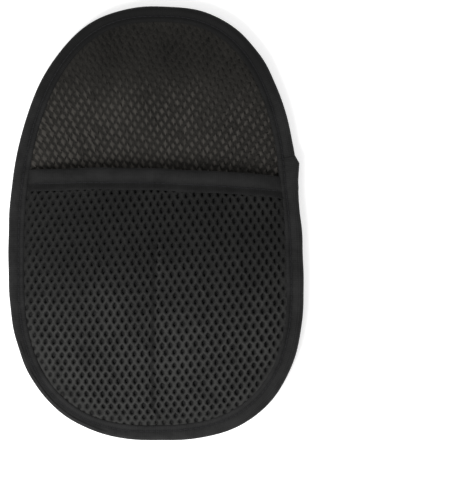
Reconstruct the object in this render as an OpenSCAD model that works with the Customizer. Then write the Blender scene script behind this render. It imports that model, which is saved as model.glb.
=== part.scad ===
// Wash mitt, lying flat: plush washing face down, air-mesh hand pocket up.
// Millimetres. +Z up, +Y towards the wrist end, -Y towards the fingertips.
// The origin is under the middle of the mitt, at the level of the pile tips.

/* [Whole mitt] */
// Overall length, fingertips to wrist end
mitt_length = 250; // [200:1:300]
// Overall width
mitt_width = 170; // [130:1:210]
// Where the widest line lies, as a share of the length from the fingertip end
widest_at = 0.38; // [0.3:0.01:0.5]
// Squareness of the oval; 2 is an ellipse
squareness = 2.5; // [2:0.1:3.2]

/* [Washing face] */
// Depth of the plush pile under its backing
pile_depth = 9; // [7:0.5:20]
// Thickness of the knitted backing that holds the pile
backing_t = 1; // [0.6:0.1:2]

/* [Padding and back panel] */
// Foam thickness at the middle of the mitt
foam_t = 4; // [2:0.5:8]
// Thickness of the fine mesh panel over the foam
back_t = 2; // [1:0.5:4]

/* [Edge binding] */
// Thickness of the woven tape
tape_t = 0.8; // [0.5:0.1:1.2]
// How far the tape reaches in over the top
binding_top = 10; // [8:0.5:14]
// How far the tape reaches in underneath
binding_under = 9; // [7:0.5:13]
// Middle of the lap where the tape's two ends meet, as a Y position
lap_y = 24; // [-20:1:60]
// Length of the lap
lap_length = 22; // [12:1:40]

/* [Hand pocket] */
// Thickness of the coarse spacer mesh
pocket_t = 3; // [2:0.25:5]
// Y position of the mouth at the middle of the mitt
mouth_y = 31; // [0:1:60]
// How much further towards the wrist the mouth is at its middle than at its ends
mouth_bow = 2.6; // [0:0.1:8]
// Fall of the mouth line to the right, in mm per mm
mouth_skew = 0.028; // [0:0.002:0.06]
// Rise of the resting pocket at the fingertip end
rise_toe = 8; // [6:0.5:14]
// Rise of the resting pocket at the mouth
rise_mouth = 12; // [8:0.5:30]

/* [Mouth tape and elastic] */
// Width of the folded tape on top
mouth_tape_w = 12; // [9:0.5:20]
// Width of the rolled band that holds the elastic
roll_w = 7.5; // [5:0.5:10]
// Thickness of the flat elastic
elastic_t = 1.2; // [0.8:0.1:2]

/* [Stitches] */
// Distance from one stitch to the next
stitch_pitch = 4; // [3:0.5:6]
// Length of one stitch
stitch_length = 2.8; // [2:0.1:3.5]
// Thread width
thread_w = 0.6; // [0.4:0.1:1]

/* [Hidden] */
steps = 96;             // points round an exact outline
dome_steps = 60;        // points round a domed panel
half_w = mitt_width / 2;
toe_half = mitt_length * widest_at;
heel_half = mitt_length - toe_half;
widest_y = toe_half - mitt_length / 2;

slot_t = backing_t + back_t;
seam_z = pile_depth;                  // underside of the layers in the binding
flange_z = seam_z + slot_t;           // their top side
foam_z = seam_z + backing_t;
fold_t = tape_t;                      // wall of the binding at the rim
under_z = seam_z - tape_t;            // underside of the binding
over_z = flange_z + tape_t;           // top of the binding
rim_gap = 0.2;                        // cloth edge to the fold of the tape
body_gap = 0.3;                       // between the pocket and what it moves against
pile_gap = 0.3;                       // between the pile and the tape
pile_inset = 3;
pile_round = 1.5;
stitch_inset = 6.5;
stitch_h = 0.3;
lap_grow = 1;                         // the lap's outer layer is this much larger
eps = 0.02;
thread_gap = 0.08;                    // a straight stitch clears the curve of the mouth tape

dome_inset = binding_top + 0.4;       // the back panel starts to rise here
dome_power = 4;
pocket_inset = binding_top + lap_grow + body_gap + 0.1;
pocket_power = 3;
pocket_z = flange_z + 0.7;
corner_lift = tape_t + 0.1;           // room for the tape under the mouth's corners
toe_y = widest_y - (toe_half - pocket_inset);
toe_start = 0.1;
pocket_cols = 24;
pocket_rows = 13;
mouth_under_w = mouth_tape_w - 1;
mouth_stitch_at = (roll_w + mouth_tape_w) / 2;
elastic_w = roll_w - 1.5;

// -------- outline --------

function pow_abs(v, p) = pow(abs(v), p);

// One point of the oval, moved in by d, in the direction of angle t
function oval_point(t, d) =
    let (c = cos(t), s = sin(t),
         b = (s > 0 ? heel_half : toe_half) - d,
         k = pow(pow_abs(c, squareness) + pow_abs(s, squareness), -1 / squareness))
    [(half_w - d) * c * k, widest_y + b * s * k];

function oval(d, n = steps) = [for (i = [0 : n - 1]) oval_point(360 * i / n, d)];

// Share of the way from the middle to the oval moved in by d
function oval_share(x, y, d) =
    let (b = (y > widest_y ? heel_half : toe_half) - d)
    pow(pow_abs(x / (half_w - d), squareness) + pow_abs((y - widest_y) / b, squareness),
        1 / squareness);

// Half width of the oval moved in by d, at height y
function oval_half(y, d) =
    let (b = (y > widest_y ? heel_half : toe_half) - d)
    (half_w - d) * pow(max(0, 1 - pow_abs((y - widest_y) / b, squareness)), 1 / squareness);

// -------- surfaces --------

// Rise of the back panel over its flange
function back_rise(x, y) =
    foam_t * max(0, 1 - pow(min(1, oval_share(x, y, dome_inset)), dome_power));

// Y of the pocket's mouth at x
function mouth_at(x) =
    mouth_y - mouth_skew * x - mouth_bow * pow(x / (half_w - pocket_inset), 2);

// Underside of the pocket panel
function pocket_under(x, y) =
    let (v = max(0, min(1, (y - toe_y) / (mouth_y - toe_y))),
         f = 1 - pow(min(1, oval_share(x, y, pocket_inset)), pocket_power))
    pocket_z + corner_lift * v + (rise_toe + (rise_mouth - rise_toe) * v) * f;

// Plan position for a column u from -1 to 1, a distance back behind the mouth line
function mouth_point(u, back) =
    let (x0 = u * oval_half(mouth_y, pocket_inset),
         x1 = u * oval_half(mouth_at(x0) - back, pocket_inset))
    [x1, mouth_at(x1) - back];

// Plan position for a column u, a share v of the way from the toe seam to the tape
function pocket_point(u, v) =
    let (far = mouth_tape_w,
         y0 = toe_y + toe_start + v * (mouth_y - far - toe_y - toe_start),
         x0 = u * oval_half(y0, pocket_inset),
         y1 = toe_y + toe_start + v * (mouth_at(x0) - far - toe_y - toe_start),
         x1 = u * oval_half(y1, pocket_inset))
    [x1, y1];

// -------- closed shells --------

// Slab between two grids of points with the same rows and columns
module grid_slab(top, bottom) {
    r_n = len(top);
    c_n = len(top[0]);
    t = function (r, c) r * c_n + c;
    b = function (r, c) (r_n + r) * c_n + c;
    pts = concat([for (row = top) each row], [for (row = bottom) each row]);
    faces = concat(
        [for (r = [0 : r_n - 2], c = [0 : c_n - 2]) each [
            [t(r, c), t(r + 1, c), t(r + 1, c + 1)], [t(r, c), t(r + 1, c + 1), t(r, c + 1)],
            [b(r, c), b(r + 1, c + 1), b(r + 1, c)], [b(r, c), b(r, c + 1), b(r + 1, c + 1)]]],
        [for (c = [0 : c_n - 2]) each [
            [t(0, c), t(0, c + 1), b(0, c + 1)], [t(0, c), b(0, c + 1), b(0, c)],
            [t(r_n - 1, c + 1), t(r_n - 1, c), b(r_n - 1, c)],
            [t(r_n - 1, c + 1), b(r_n - 1, c), b(r_n - 1, c + 1)]]],
        [for (r = [0 : r_n - 2]) each [
            [t(r + 1, 0), t(r, 0), b(r, 0)], [t(r + 1, 0), b(r, 0), b(r + 1, 0)],
            [t(r, c_n - 1), t(r + 1, c_n - 1), b(r + 1, c_n - 1)],
            [t(r, c_n - 1), b(r + 1, c_n - 1), b(r, c_n - 1)]]]);
    polyhedron(points = pts, faces = faces, convexity = 6);
}

// Slab between rings of points, outermost first, closed by a middle point on each side
module ring_slab(top, top_mid, bottom, bottom_mid) {
    n = len(top[0]);
    k_t = len(top);
    k_b = len(bottom);
    t = function (k, j) k * n + (j % n);
    b = function (k, j) (k_t + k) * n + (j % n);
    mid_t = (k_t + k_b) * n;
    mid_b = mid_t + 1;
    pts = concat([for (ring = top) each ring], [for (ring = bottom) each ring],
                 [top_mid, bottom_mid]);
    faces = concat(
        [for (k = [0 : 1 : k_t - 2], j = [0 : n - 1]) each [
            [t(k, j), t(k + 1, j), t(k + 1, j + 1)], [t(k, j), t(k + 1, j + 1), t(k, j + 1)]]],
        [for (k = [0 : 1 : k_b - 2], j = [0 : n - 1]) each [
            [b(k, j), b(k + 1, j + 1), b(k + 1, j)], [b(k, j), b(k, j + 1), b(k + 1, j + 1)]]],
        [for (j = [0 : n - 1]) each [
            [t(k_t - 1, j), mid_t, t(k_t - 1, j + 1)], [b(k_b - 1, j), b(k_b - 1, j + 1), mid_b],
            [t(0, j), t(0, j + 1), b(0, j + 1)], [t(0, j), b(0, j + 1), b(0, j)]]]);
    polyhedron(points = pts, faces = faces, convexity = 4);
}

// Flat layer of the oval from z0 to z1, moved in by d
module layer(d, z0, z1) {
    translate([0, 0, z0]) linear_extrude(height = z1 - z0) polygon(oval(d));
}

// -------- washing face, padding and back panel --------

module wash_pile() {
    low_z = under_z - tape_t - pile_gap;
    color("#1c1c1e") union() {
        layer(pile_inset + 2, 0, pile_round);
        layer(pile_inset, pile_round, low_z);
        layer(binding_under + 2, low_z, seam_z);
    }
}

module pile_backing() {
    color("#26262a") layer(fold_t + rim_gap, seam_z, foam_z);
}

dome_shares = [1, 0.96, 0.9, 0.8, 0.65, 0.42];

function back_ring(s, low) = [for (i = [0 : dome_steps - 1])
    let (q = oval_point(360 * i / dome_steps, dome_inset),
         x = s * q[0], y = widest_y + s * (q[1] - widest_y))
    [x, y, flange_z + back_rise(x, y) - low]];

function flat_ring(d, z) = [for (q = oval(d, dome_steps)) [q[0], q[1], z]];

module foam_pad() {
    shares = [for (s = dome_shares) if (s < 0.95) s];
    color("#8c8c90") ring_slab(
        [for (s = shares) back_ring(s, back_t)],
        [0, widest_y, flange_z + foam_t - back_t],
        [[for (q = back_ring(shares[0], 0)) [q[0], q[1], foam_z]]],
        [0, widest_y, foam_z]);
}

module back_panel() {
    edge = fold_t + rim_gap + 0.2;
    color("#3a3836") ring_slab(
        concat([flat_ring(edge, flange_z)], [for (s = dome_shares) back_ring(s, 0)]),
        [0, widest_y, flange_z + foam_t],
        concat([flat_ring(edge, foam_z)], [for (s = dome_shares) back_ring(s, back_t)]),
        [0, widest_y, foam_z + foam_t]);
}

// -------- edge binding --------

// U-section of tape round the whole edge, larger by g on every side for the lap
module binding_section(g) {
    difference() {
        union() {
            layer(0.4 - g, under_z - g, over_z + g);
            layer(-g, under_z - g + 0.5, over_z + g - 0.5);
        }
        layer(fold_t, seam_z, flange_z);
        layer(binding_top + g, (seam_z + flange_z) / 2, over_z + g + 1);
        layer(binding_under + g, under_z - g - 1, (seam_z + flange_z) / 2);
    }
}

module edge_binding() {
    color("#232324") union() {
        binding_section(0);
        intersection() {
            binding_section(tape_t);
            translate([0, lap_y - lap_length / 2, 0]) cube([half_w + 10, lap_length, over_z + 5]);
        }
    }
}

// -------- stitches --------

// One stitch: a flat-bottomed bar of thread along X
module stitch() {
    translate([-stitch_length / 2, 0, 0]) rotate([90, 0, 90])
        linear_extrude(height = stitch_length)
            polygon([[-thread_w / 2, 0], [thread_w / 2, 0], [thread_w / 2, stitch_h * 0.5],
                     [thread_w / 4, stitch_h], [-thread_w / 4, stitch_h],
                     [-thread_w / 2, stitch_h * 0.5]]);
}

edge_seam = oval(stitch_inset, 720);
edge_arc = [for (i = 0, s = 0; i <= 720;
                 s = s + norm(edge_seam[(i + 1) % 720] - edge_seam[i % 720]), i = i + 1) s];
edge_count = floor(edge_arc[720] / stitch_pitch);

function on_lap(x, y) = x > 0 && abs(y - lap_y) < lap_length / 2;
function near_lap_end(x, y) =
    x > 0 && abs(abs(y - lap_y) - lap_length / 2) < stitch_length / 2 + 0.2;

// Places its children round the edge seam, one per stitch
module along_edge(side) {
    for (k = [0 : edge_count - 1]) {
        want = (k + 0.5) * edge_arc[720] / edge_count;
        i = search_arc(want);
        f = (want - edge_arc[i]) / (edge_arc[i + 1] - edge_arc[i]);
        p = edge_seam[i] * (1 - f) + edge_seam[(i + 1) % 720] * f;
        dir = edge_seam[(i + 1) % 720] - edge_seam[i];
        lift = on_lap(p[0], p[1]) ? tape_t : 0;
        z = side > 0 ? over_z + lift : under_z - lift;
        if (!near_lap_end(p[0], p[1]))
            translate([p[0], p[1], z]) rotate([0, 0, atan2(dir[1], dir[0])])
                mirror([0, 0, side > 0 ? 0 : 1]) children();
    }
}

// Index of the seam point just before a distance along the seam
function search_arc(s, lo = 0, hi = 720) =
    hi - lo <= 1 ? lo
    : let (m = floor((lo + hi) / 2)) edge_arc[m] <= s ? search_arc(s, m, hi) : search_arc(s, lo, m);

module binding_needle_thread() {
    color("#4a4a4c") along_edge(1) stitch();
}

module binding_bobbin_thread() {
    color("#4a4a4c") along_edge(-1) stitch();
}

// -------- hand pocket --------

cols = [for (i = [0 : pocket_cols]) -cos(180 * i / pocket_cols) * 0.35
            + (2 * i / pocket_cols - 1) * 0.65];
row_shares = [for (k = [0 : pocket_rows]) pow(k / pocket_rows, 1.6)];
tape_rows = [mouth_tape_w, roll_w, roll_w / 2, 0];

function pocket_grid(up) = concat(
    [for (k = [0 : pocket_rows - 1]) [for (u = cols)
        let (q = pocket_point(u, row_shares[k])) [q[0], q[1], pocket_under(q[0], q[1]) + up]]],
    [for (back = tape_rows) [for (u = cols)
        let (q = mouth_point(u, back)) [q[0], q[1], pocket_under(q[0], q[1]) + up]]]);

module pocket_panel() {
    color("#2b2b2d") grid_slab(pocket_grid(pocket_t), pocket_grid(0));
}

// A point on the mouth's layers: back from the mouth line, h above the panel's underside
function mouth_layer(u, back, h) =
    let (q = mouth_point(u, back),
         edge = mouth_point(u, 0),
         z = back >= 0 ? pocket_under(q[0], q[1]) : pocket_under(edge[0], edge[1]))
    [q[0], q[1], z + h];

// The folded tape: from its upper edge, over the roll, round the mouth, back underneath
module mouth_tape() {
    top = pocket_t;
    roll = pocket_t + elastic_t + 0.1;
    outer = [[mouth_tape_w, top + tape_t], [roll_w + 0.6, top + tape_t],
             [roll_w - 0.8, roll + tape_t], [1.2, roll + tape_t], [-tape_t, roll - 0.4],
             [-tape_t, 0], [0.6, -tape_t], [mouth_under_w, -tape_t]];
    inner = [[mouth_tape_w, top + eps], [roll_w + 0.3, top + eps], [roll_w - 0.5, roll],
             [0.8, roll], [0, roll - 0.6], [-eps, 0], [0, -eps], [mouth_under_w, -eps]];
    color("#2f2f30") grid_slab(
        [for (k = [len(outer) - 1 : -1 : 0]) [for (u = cols)
            mouth_layer(u, outer[k][0], outer[k][1])]],
        [for (k = [len(inner) - 1 : -1 : 0]) [for (u = cols)
            mouth_layer(u, inner[k][0], inner[k][1])]]);
}

module mouth_elastic() {
    back = [elastic_w + 0.5, 0.9];
    color("#6a6a6c") grid_slab(
        [for (d = back) [for (u = cols) mouth_layer(u, d, pocket_t + eps + elastic_t)]],
        [for (d = back) [for (u = cols) mouth_layer(u, d, pocket_t + eps)]]);
}

// Places its children along the mouth seam, h above the panel's underside
module along_mouth(h, side) {
    span = 2 * oval_half(mouth_y, pocket_inset);
    count = floor((span - stitch_length) / stitch_pitch);
    for (k = [0 : count - 1]) {
        u = 2 * (k + 0.5) / count - 1;
        p = mouth_layer(u, mouth_stitch_at, h);
        q = mouth_layer(u + 0.01, mouth_stitch_at, h) - mouth_layer(u - 0.01, mouth_stitch_at, h);
        translate(p + [0, 0, side * thread_gap])
            rotate([0, -atan2(q[2], norm([q[0], q[1]])), atan2(q[1], q[0])])
                mirror([0, 0, side > 0 ? 0 : 1]) children();
    }
}

module mouth_needle_thread() {
    color("#4a4a4c") along_mouth(pocket_t + tape_t, 1) stitch();
}

module mouth_bobbin_thread() {
    color("#4a4a4c") along_mouth(-tape_t, -1) stitch();
}

// -------- parts list --------

wash_pile();
pile_backing();
foam_pad();
back_panel();
edge_binding();
binding_needle_thread();
binding_bobbin_thread();
pocket_panel();
mouth_tape();
mouth_elastic();
mouth_needle_thread();
mouth_bobbin_thread();
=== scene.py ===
"""A flat oval wash mitt: plush washing face, padded back, bound edge and an air-mesh hand pocket.

Lengths in the pieces are millimetres, and turn into metres where a mesh is made. The frame has +Z
up, +Y towards the wrist end, the washing face down.
"""

from __future__ import annotations

import logging
import math
from collections.abc import Callable, Sequence
from dataclasses import dataclass, field
from enum import Enum

import bpy
import numpy as np
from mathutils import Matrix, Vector


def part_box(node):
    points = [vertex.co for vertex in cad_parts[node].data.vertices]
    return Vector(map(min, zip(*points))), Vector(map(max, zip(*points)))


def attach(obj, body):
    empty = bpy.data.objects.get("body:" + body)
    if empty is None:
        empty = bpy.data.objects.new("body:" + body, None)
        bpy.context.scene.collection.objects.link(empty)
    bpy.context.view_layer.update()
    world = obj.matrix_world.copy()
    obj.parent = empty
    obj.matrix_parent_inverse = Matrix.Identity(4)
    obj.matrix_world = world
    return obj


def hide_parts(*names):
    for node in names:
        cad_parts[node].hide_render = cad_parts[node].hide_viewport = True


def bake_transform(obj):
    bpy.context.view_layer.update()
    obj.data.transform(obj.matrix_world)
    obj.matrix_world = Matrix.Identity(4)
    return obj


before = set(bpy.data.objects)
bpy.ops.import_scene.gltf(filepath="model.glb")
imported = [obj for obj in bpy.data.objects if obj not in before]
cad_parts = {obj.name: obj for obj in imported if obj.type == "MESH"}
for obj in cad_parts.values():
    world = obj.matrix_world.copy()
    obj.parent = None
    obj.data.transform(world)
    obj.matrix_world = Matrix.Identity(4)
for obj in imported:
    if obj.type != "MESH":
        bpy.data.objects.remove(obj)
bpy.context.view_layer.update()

MM = 0.001
SEED = 7
LOOP_RISE = 0.3 * MM  # how far a loop of yarn stands out of the cloth
WAVE = 0.314  # length of one wave of the wave texture at a scale of 1
log = logging.getLogger("wash_mitt")

Array = np.ndarray
Surface = Callable[[Array, Array], Array]


# ---------------------------------------------------------------- small helpers


def linear(hex_colour: str) -> tuple[float, float, float, float]:
    """Turns an sRGB hex colour into linear RGBA.

    Args:
        hex_colour: Six hex digits with a leading hash.

    Returns:
        Linear red, green, blue and an alpha of 1.
    """
    parts = [int(hex_colour[i : i + 2], 16) / 255 for i in (1, 3, 5)]
    r, g, b = (c / 12.92 if c <= 0.04045 else ((c + 0.055) / 1.055) ** 2.4 for c in parts)
    return (r, g, b, 1.0)


def ease(value: Array, low: float, high: float) -> Array:
    """A smooth step from 0 at low to 1 at high."""
    t = np.clip((np.asarray(value, float) - low) / (high - low), 0, 1)
    return t * t * (3 - 2 * t)


def wander(x: Array, y: Array, size: float, seed: int) -> Array:
    """A smooth irregular field made of a few slanted waves.

    Args:
        x: Positions across, in mm.
        y: Positions along, in mm.
        size: Typical length of one swell, in mm.
        seed: Which field.

    Returns:
        Values from about -1 to 1.
    """
    rng = np.random.default_rng(seed)
    total = np.zeros(np.broadcast(x, y).shape)
    for _ in range(6):
        turn, phase, share = rng.uniform(0, math.tau), rng.uniform(0, math.tau), rng.uniform(0.7, 1.6)
        total += np.sin((x * math.cos(turn) + y * math.sin(turn)) * math.tau * share / (2 * size) + phase)
    return total / 3


def lopsided(y: Array) -> Array:
    """How far to the right the sewn mitt sits at y, in mm: both ends lean over and the middle sits left."""
    return -1.0 + 2.2 * (np.abs(y - 8) / 100) ** 1.5


def distance_along(line: Array) -> Array:
    """Each point's distance from the start of a line."""
    return np.concatenate([[0], np.cumsum(np.linalg.norm(np.diff(line, axis=0), axis=1))])


def unit(vectors: Array) -> Array:
    """Vectors of length 1 in the same directions."""
    return vectors / np.maximum(np.linalg.norm(vectors, axis=-1, keepdims=True), 1e-9)


def ring_faces(here: Array, ahead: Array) -> Array:
    """Four-sided faces between matching closed rings of vertex numbers."""
    return np.stack([here, np.roll(here, -1, -1), np.roll(ahead, -1, -1), ahead], -1).reshape(-1, 4)


def strip_ends(index: Array, flips: tuple[bool, bool]) -> list[list[int]]:
    """Closes both ends of a thin strip.

    Args:
        index: Vertex numbers, a row for each station: along the outer face and back along the inner one.
        flips: Whether the faces turn over at the first station and at the last.

    Returns:
        The faces.
    """
    count = index.shape[1]
    faces = []
    for row, flip in zip((index[0], index[-1]), flips):
        for i in range(count // 2 - 1):
            face = [row[i], row[count - 1 - i], row[count - 2 - i], row[i + 1]]
            faces.append(face[::-1] if flip else face)
    return faces


def fix_to_mitt(obj: bpy.types.Object, *nodes: str) -> bpy.types.Object:
    """Fastens a piece to the mitt's body, where it stands for the solids named.

    Args:
        obj: The piece.
        *nodes: The solids; none for a piece that another one already stands in for.

    Returns:
        The piece.
    """
    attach(obj, "mitt")
    if nodes:
        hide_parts(*nodes)
    return obj


def add_node(
    tree: bpy.types.NodeTree,
    kind: str,
    inputs: dict | None = None,
    feeds: dict | None = None,
    **settings: object,
) -> bpy.types.Node:
    """Adds one node with its settings, values and links.

    Args:
        tree: The node tree that gets it.
        kind: The node's type name.
        inputs: Input name or index to a value, or to the output socket that feeds it.
        feeds: Output index to the input socket that it feeds.
        **settings: Properties of the node itself.

    Returns:
        The new node.
    """
    node = tree.nodes.new(kind)
    for key, value in settings.items():
        setattr(node, key, value)
    for key, value in (inputs or {}).items():
        socket = node.inputs[key]
        if isinstance(value, bpy.types.NodeSocket):
            tree.links.new(value, socket)
        else:
            socket.default_value = value
    for key, socket in (feeds or {}).items():
        tree.links.new(node.outputs[key], socket)
    return node


def make_piece(
    name: str,
    points: Array,
    faces: Sequence[Sequence[int]] | Array,
    finish: Finish,
    uv: Array | None = None,
    tone: Array | None = None,
) -> bpy.types.Object:
    """Makes a smooth-shaded mesh object from points in millimetres.

    Args:
        name: The piece's name.
        points: One row of x, y, z per vertex, in mm.
        faces: Vertex numbers of each face.
        finish: What the piece is made of.
        uv: One u, v pair per vertex, in metres along the cloth.
        tone: One value per vertex: painted shade and highlight by how far up the yarn stands, painted light
            and shade over the piece, and random wear.

    Returns:
        The new object, linked to the scene.
    """
    mesh = bpy.data.meshes.new(name)
    placed = np.array(points, float)
    placed[:, 0] += lopsided(placed[:, 1])
    mesh.from_pydata((placed * MM).tolist(), [], [list(map(int, f)) for f in faces])
    mesh.polygons.foreach_set("use_smooth", np.ones(len(mesh.polygons), bool))
    if uv is not None:
        loops = np.zeros(len(mesh.loops), np.int32)
        mesh.loops.foreach_get("vertex_index", loops)
        layer = mesh.uv_layers.new(name="cloth")
        layer.data.foreach_set("uv", np.asarray(uv, np.float32)[loops].ravel())
    if tone is not None:
        layer = mesh.attributes.new("tone", "FLOAT", "POINT")
        layer.data.foreach_set("value", np.asarray(tone, np.float32))
    mesh.update()
    obj = bpy.data.objects.new(name, mesh)
    bpy.context.scene.collection.objects.link(obj)
    finish.dress(obj)
    return obj


# ---------------------------------------------------------------- finishes


@dataclass(frozen=True)
class Finish:
    """A cloth or yarn, and the shader that shows it."""

    name: str
    slot: str
    colour: str
    roughness: float = 0.8
    sheen: float = 0.03

    def dress(self, obj: bpy.types.Object) -> None:
        """Puts this finish on a piece."""
        obj.data.materials.append(self.material())

    def material(self) -> bpy.types.Material:
        """Makes the finish's material, once.

        Returns:
            The material.
        """
        found = bpy.data.materials.get(self.name)
        if found:
            return found
        made = bpy.data.materials.new(self.name)
        made.use_nodes = True
        tree = made.node_tree
        tree.nodes.clear()
        shader = add_node(
            tree,
            "ShaderNodeBsdfPrincipled",
            {
                "Base Color": linear(self.colour),
                "Roughness": self.roughness,
                "IOR": 1.5,
                "Specular IOR Level": 0.06,  # light is lost between the fibres, so little of it glints
                "Sheen Weight": self.sheen,
                "Sheen Roughness": 0.5,
            },
        )
        self.pattern(tree, shader)
        add_node(tree, "ShaderNodeOutputMaterial", {"Surface": shader.outputs[0]})
        return made

    def pattern(self, tree: bpy.types.NodeTree, shader: bpy.types.Node) -> None:
        """Adds what varies over the surface.

        Args:
            tree: The material's nodes.
            shader: The node that gives the surface.
        """


@dataclass(frozen=True)
class YarnFinish(Finish):
    """A cloth whose yarn is drawn darker in its depths than on top, as painted shade."""

    deep: str = "#070708"

    def shade(
        self,
        tree: bpy.types.NodeTree,
        shader: bpy.types.Node,
        value: bpy.types.NodeSocket,
        low: float,
        high: float,
    ) -> None:
        """Colours the yarn from painted shade in its depths to its colour on top.

        Args:
            tree: The material's nodes.
            shader: The node that gives the surface.
            value: How far up the yarn a point is, with painted light and shade added.
            low: The value in the depths.
            high: The value on top.
        """
        share = add_node(
            tree, "ShaderNodeMapRange", {"Value": value, "From Min": low, "From Max": high}
        ).outputs[0]
        add_node(
            tree,
            "ShaderNodeMix",
            {0: share, 6: linear(self.deep), 7: linear(self.colour)},
            {2: shader.inputs["Base Color"]},
            data_type="RGBA",
        )


@dataclass(frozen=True)
class KnitMesh(YarnFinish):
    """Black polyester warp-knit mesh. Matt fluffed yarn, with a painted highlight on top of each web."""

    loop_mm: float = 0.9  # real loops are 0.4 mm, too fine to show, so they are drawn twice as coarse
    fluff_mm: float = 0.7
    fluff: float = 0.5
    bump: float = 0.35

    def pattern(self, tree: bpy.types.NodeTree, shader: bpy.types.Node) -> None:
        """Painted shade and highlight by the yarn's height, knitted wales and fluff.

        Args:
            tree: The material's nodes.
            shader: The node that gives the surface.
        """
        place = add_node(tree, "ShaderNodeTexCoord").outputs["Object"]
        tone = add_node(tree, "ShaderNodeAttribute", attribute_name="tone").outputs["Fac"]
        fluff = add_node(
            tree,
            "ShaderNodeTexNoise",
            {"Vector": place, "Scale": 1 / (self.fluff_mm * MM), "Detail": 3.0, "Roughness": 0.7},
        ).outputs["Fac"]
        patch = add_node(
            tree, "ShaderNodeTexNoise", {"Vector": place, "Scale": 40.0, "Detail": 2.0}
        ).outputs["Fac"]
        both = add_node(
            tree, "ShaderNodeMath", {0: fluff, 1: self.fluff, 2: tone}, operation="MULTIPLY_ADD"
        ).outputs[0]
        all_three = add_node(
            tree, "ShaderNodeMath", {0: patch, 1: 0.35, 2: both}, operation="MULTIPLY_ADD"
        ).outputs[0]
        self.shade(tree, shader, all_three, 0.4, 1.6)
        wales = add_node(
            tree,
            "ShaderNodeTexWave",
            {"Vector": place, "Scale": WAVE / (self.loop_mm * MM), "Distortion": 3.0, "Detail": 1.0},
            bands_direction="DIAGONAL",
        ).outputs["Fac"]
        height = add_node(
            tree, "ShaderNodeMath", {0: fluff, 1: 1.2, 2: wales}, operation="MULTIPLY_ADD"
        ).outputs[0]
        add_node(
            tree,
            "ShaderNodeBump",
            {"Strength": self.bump, "Distance": LOOP_RISE, "Height": height},
            {0: shader.inputs["Normal"]},
        )


@dataclass(frozen=True)
class WovenTape(YarnFinish):
    """Folded polyester binding tape, plain woven. Flat and matt, with fine ribs and a slight shine."""

    rib_mm: float = 1.1  # real ribs are 0.5 mm, drawn twice as coarse so that they show
    bump: float = 0.3

    def pattern(self, tree: bpy.types.NodeTree, shader: bpy.types.Node) -> None:
        """Ribs along the tape's own directions, patches of wear, and painted light and shade from the tone
        attribute.

        Args:
            tree: The material's nodes.
            shader: The node that gives the surface.
        """
        uv = add_node(tree, "ShaderNodeUVMap", uv_map="cloth").outputs["UV"]
        place = add_node(tree, "ShaderNodeTexCoord").outputs["Object"]
        across = add_node(
            tree,
            "ShaderNodeTexWave",
            {"Vector": uv, "Scale": WAVE / (self.rib_mm * MM), "Distortion": 0.6, "Detail": 1.0},
            bands_direction="X",
        ).outputs["Fac"]
        along = add_node(
            tree,
            "ShaderNodeTexWave",
            {"Vector": uv, "Scale": WAVE / (0.7 * self.rib_mm * MM), "Distortion": 0.6},
            bands_direction="Y",
        ).outputs["Fac"]
        fluff = add_node(
            tree, "ShaderNodeTexNoise", {"Vector": place, "Scale": 900.0, "Detail": 4.0, "Roughness": 0.7}
        ).outputs["Fac"]
        patch = add_node(
            tree, "ShaderNodeTexNoise", {"Vector": place, "Scale": 110.0, "Detail": 4.0, "Roughness": 0.6}
        ).outputs["Fac"]
        weave = add_node(
            tree, "ShaderNodeMath", {0: across, 1: along}, operation="MULTIPLY"
        ).outputs[0]
        height = add_node(
            tree, "ShaderNodeMath", {0: fluff, 1: 0.8, 2: weave}, operation="MULTIPLY_ADD"
        ).outputs[0]
        mottle = add_node(
            tree, "ShaderNodeMath", {0: patch, 1: 2.0, 2: height}, operation="MULTIPLY_ADD"
        ).outputs[0]
        # the tone attribute carries painted light and shade over the tape
        tone_change = add_node(tree, "ShaderNodeAttribute", attribute_name="tone").outputs["Fac"]
        tint = add_node(tree, "ShaderNodeMath", {0: mottle, 1: tone_change}, operation="ADD").outputs[0]
        self.shade(tree, shader, tint, 0.9, 2.3)
        add_node(
            tree,
            "ShaderNodeBump",
            {"Strength": self.bump, "Distance": LOOP_RISE, "Height": height},
            {0: shader.inputs["Normal"]},
        )


@dataclass(frozen=True)
class PlushPile(YarnFinish):
    """Black microfibre plush. Soft strands with painted shade at the root and painted highlight along their
    tips.
    """

    def pattern(self, tree: bpy.types.NodeTree, shader: bpy.types.Node) -> None:
        """Strand tone by height and by strand.

        Args:
            tree: The material's nodes.
            shader: The node that gives the surface.
        """
        place = add_node(tree, "ShaderNodeTexCoord").outputs["Object"]
        tone = add_node(tree, "ShaderNodeAttribute", attribute_name="tone").outputs["Fac"]
        fluff = add_node(
            tree, "ShaderNodeTexNoise", {"Vector": place, "Scale": 700.0, "Detail": 3.0}
        ).outputs["Fac"]
        both = add_node(
            tree, "ShaderNodeMath", {0: fluff, 1: 0.6, 2: tone}, operation="MULTIPLY_ADD"
        ).outputs[0]
        self.shade(tree, shader, both, 0.3, 1.35)
        add_node(
            tree,
            "ShaderNodeBump",
            {"Strength": 0.3, "Distance": LOOP_RISE, "Height": fluff},
            {0: shader.inputs["Normal"]},
        )


@dataclass(frozen=True)
class SpunThread(Finish):
    """Spun polyester sewing thread. A slight shine, broken up by its twist."""

    def pattern(self, tree: bpy.types.NodeTree, shader: bpy.types.Node) -> None:
        """The thread's twist as fine slanted bumps.

        Args:
            tree: The material's nodes.
            shader: The node that gives the surface.
        """
        place = add_node(tree, "ShaderNodeTexCoord").outputs["Object"]
        twist = add_node(
            tree,
            "ShaderNodeTexWave",
            {"Vector": place, "Scale": WAVE / (0.5 * MM), "Distortion": 0.5},
            bands_direction="DIAGONAL",
        ).outputs["Fac"]
        add_node(
            tree,
            "ShaderNodeBump",
            {"Strength": 0.4, "Distance": 0.1 * MM, "Height": twist},
            {0: shader.inputs["Normal"]},
        )


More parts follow.
